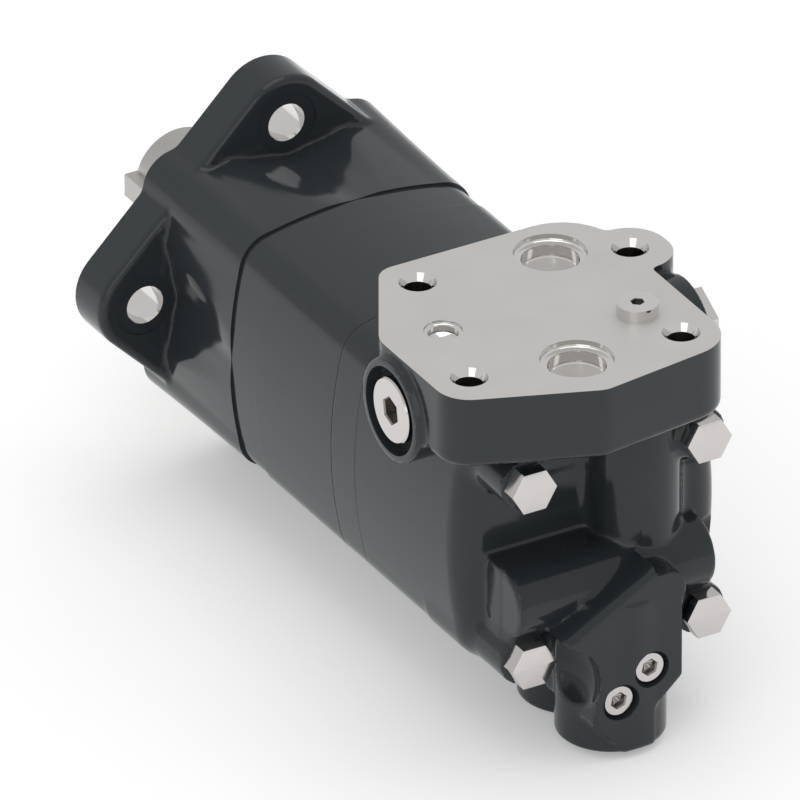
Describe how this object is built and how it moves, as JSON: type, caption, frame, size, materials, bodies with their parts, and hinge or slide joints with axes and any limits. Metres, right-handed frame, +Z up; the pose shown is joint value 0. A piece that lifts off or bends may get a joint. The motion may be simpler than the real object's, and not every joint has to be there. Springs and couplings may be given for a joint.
{
  "type": "orbital hydraulic motor",
  "caption": "Disc-valve orbital hydraulic motor with a four-ear mounting flange, keyed straight shaft and a flat manifold face on the rear casting.",
  "frame": {"origin": "centre of the mounting flange's front face, on the shaft axis", "axes": "+Y along the output shaft and out of the flange, +Z up and out of the manifold face, +X to the right seen from behind"},
  "size_m": [0.1398, 0.3098, 0.1505],
  "materials": {
    "painted_casting": "semi-gloss dark slate-grey paint over a sand casting",
    "rubber_seals": "black nitrile rubber",
    "plated_fasteners": "bright nickel or zinc plate, satin",
    "ground_shaft": "ground steel",
    "bearing_steel": "ground bearing steel",
    "cage_steel": "pressed sheet steel",
    "gear_steel": "hardened and lapped steel",
    "valve_steel": "lapped steel",
    "spring_steel": "drawn spring wire"
  },
  "bodies": {
    "housing": {"front_housing": "painted_casting", "dust_seal": "rubber_seals", "shaft_seal": "rubber_seals", "seal_washer": "gear_steel", "front_bearing_cup": "bearing_steel", "rear_bearing_cup": "bearing_steel", "housing_face_seal": "rubber_seals", "spacer_plate": "painted_casting", "ring_front_seal": "rubber_seals", "geroler_ring": "painted_casting", "ring_rear_seal": "rubber_seals", "valve_plate": "painted_casting", "cover_face_seal": "rubber_seals", "balance_ring": "valve_steel", "balance_springs": "spring_steel", "balance_outer_seal": "rubber_seals", "balance_inner_seal": "rubber_seals", "valve_housing": "painted_casting", "tie_bolts": "plated_fasteners", "left_port_plug": "plated_fasteners", "left_plug_seal": "rubber_seals", "right_port_plug": "plated_fasteners", "right_plug_seal": "rubber_seals", "shuttle_springs": "spring_steel", "top_plug": "plated_fasteners", "rear_plugs": "plated_fasteners", "boss_plug": "plated_fasteners", "relief_plugs": "plated_fasteners", "relief_spring_front": "spring_steel", "relief_spring_rear": "spring_steel"},
    "shaft": {"output_shaft": "ground_shaft", "shaft_key": "ground_shaft", "front_bearing_cone": "bearing_steel", "rear_bearing_cone": "bearing_steel"},
    "front_roller_set": {"front_bearing_rollers": "bearing_steel", "front_bearing_cage": "cage_steel"},
    "rear_roller_set": {"rear_bearing_rollers": "bearing_steel", "rear_bearing_cage": "cage_steel"},
    "orbit": {"drive_spacer": "gear_steel"},
    "star": {"geroler_star": "gear_steel"},
    "cardan": {"main_drive": "gear_steel"},
    "valve_cardan": {"valve_drive": "gear_steel"},
    "valve_disc": {"disc_valve": "valve_steel"},
    "spool": {"shuttle_spool": "valve_steel"},
    "poppet_front": {"relief_poppet_front": "valve_steel"},
    "poppet_rear": {"relief_poppet_rear": "valve_steel"},
    "roller_body_1": {"roller_1": "gear_steel"},
    "roller_body_2": {"roller_2": "gear_steel"},
    "roller_body_3": {"roller_3": "gear_steel"},
    "roller_body_4": {"roller_4": "gear_steel"},
    "roller_body_5": {"roller_5": "gear_steel"},
    "roller_body_6": {"roller_6": "gear_steel"},
    "roller_body_7": {"roller_7": "gear_steel"}
  },
  "joints": [
    {"name": "shaft_spin", "type": "hinge", "parent": "housing", "child": "shaft", "pos_m": [0, 0, 0], "axis": [0, 1, 0], "continuous": true},
    {"name": "front_rollers_spin", "type": "hinge", "parent": "housing", "child": "front_roller_set", "pos_m": [0, -0.03, 0], "axis": [0, 1, 0], "continuous": true},
    {"name": "rear_rollers_spin", "type": "hinge", "parent": "housing", "child": "rear_roller_set", "pos_m": [0, -0.052, 0], "axis": [0, 1, 0], "continuous": true},
    {"name": "orbit_spin", "type": "hinge", "parent": "housing", "child": "orbit", "pos_m": [0, -0.1, 0], "axis": [0, 1, 0], "continuous": true},
    {"name": "star_spin", "type": "hinge", "parent": "orbit", "child": "star", "pos_m": [0.0024, -0.1, 0], "axis": [0, 1, 0], "continuous": true},
    {"name": "cardan_spin", "type": "hinge", "parent": "orbit", "child": "cardan", "pos_m": [0, -0.0485, 0], "axis": [-0.0494, 0.9988, 0], "continuous": true},
    {"name": "valve_cardan_spin", "type": "hinge", "parent": "orbit", "child": "valve_cardan", "pos_m": [0.0024, -0.1165, 0], "axis": [0.0729, 0.9973, 0], "continuous": true},
    {"name": "disc_spin", "type": "hinge", "parent": "housing", "child": "valve_disc", "pos_m": [0, -0.14935, 0], "axis": [0, 1, 0], "continuous": true},
    {"name": "roller_1_spin", "type": "hinge", "parent": "housing", "child": "roller_body_1", "pos_m": [0.0305, -0.1, 0], "axis": [0, 1, 0], "continuous": true},
    {"name": "roller_2_spin", "type": "hinge", "parent": "housing", "child": "roller_body_2", "pos_m": [0.01902, -0.1, -0.02385], "axis": [0, 1, 0], "continuous": true},
    {"name": "roller_3_spin", "type": "hinge", "parent": "housing", "child": "roller_body_3", "pos_m": [-0.00679, -0.1, -0.02974], "axis": [0, 1, 0], "continuous": true},
    {"name": "roller_4_spin", "type": "hinge", "parent": "housing", "child": "roller_body_4", "pos_m": [-0.02748, -0.1, -0.01323], "axis": [0, 1, 0], "continuous": true},
    {"name": "roller_5_spin", "type": "hinge", "parent": "housing", "child": "roller_body_5", "pos_m": [-0.02748, -0.1, 0.01323], "axis": [0, 1, 0], "continuous": true},
    {"name": "roller_6_spin", "type": "hinge", "parent": "housing", "child": "roller_body_6", "pos_m": [-0.00679, -0.1, 0.02974], "axis": [0, 1, 0], "continuous": true},
    {"name": "roller_7_spin", "type": "hinge", "parent": "housing", "child": "roller_body_7", "pos_m": [0.01902, -0.1, 0.02385], "axis": [0, 1, 0], "continuous": true},
    {"name": "shuttle_slide", "type": "slide", "parent": "housing", "child": "spool", "axis": [1, 0, 0], "range_m": [-0.005, 0.005], "stiffness_N_per_m": 2000, "deforming": ["shuttle_springs"]},
    {"name": "relief_front_slide", "type": "slide", "parent": "housing", "child": "poppet_front", "axis": [0, 0, -1], "range_m": [0, 0.003], "stiffness_N_per_m": 3000, "springref_m": -0.003, "deforming": ["relief_spring_front"]},
    {"name": "relief_rear_slide", "type": "slide", "parent": "housing", "child": "poppet_rear", "axis": [0, 0, -1], "range_m": [0, 0.003], "stiffness_N_per_m": 3000, "springref_m": -0.003, "deforming": ["relief_spring_rear"]}
  ],
  "couplings": [
    {"joint": "front_rollers_spin", "follows": "shaft_spin", "ratio": 0.4364},
    {"joint": "rear_rollers_spin", "follows": "shaft_spin", "ratio": 0.4428},
    {"joint": "orbit_spin", "follows": "shaft_spin", "ratio": -6},
    {"joint": "star_spin", "follows": "shaft_spin", "ratio": 7},
    {"joint": "cardan_spin", "follows": "shaft_spin", "ratio": 7},
    {"joint": "valve_cardan_spin", "follows": "shaft_spin", "ratio": 7},
    {"joint": "disc_spin", "follows": "shaft_spin", "ratio": 1},
    {"joint": "roller_1_spin", "follows": "shaft_spin", "ratio": -3.84},
    {"joint": "roller_2_spin", "follows": "shaft_spin", "ratio": -3.84},
    {"joint": "roller_3_spin", "follows": "shaft_spin", "ratio": -3.84},
    {"joint": "roller_4_spin", "follows": "shaft_spin", "ratio": -3.84},
    {"joint": "roller_5_spin", "follows": "shaft_spin", "ratio": -3.84},
    {"joint": "roller_6_spin", "follows": "shaft_spin", "ratio": -3.84},
    {"joint": "roller_7_spin", "follows": "shaft_spin", "ratio": -3.84}
  ]
}
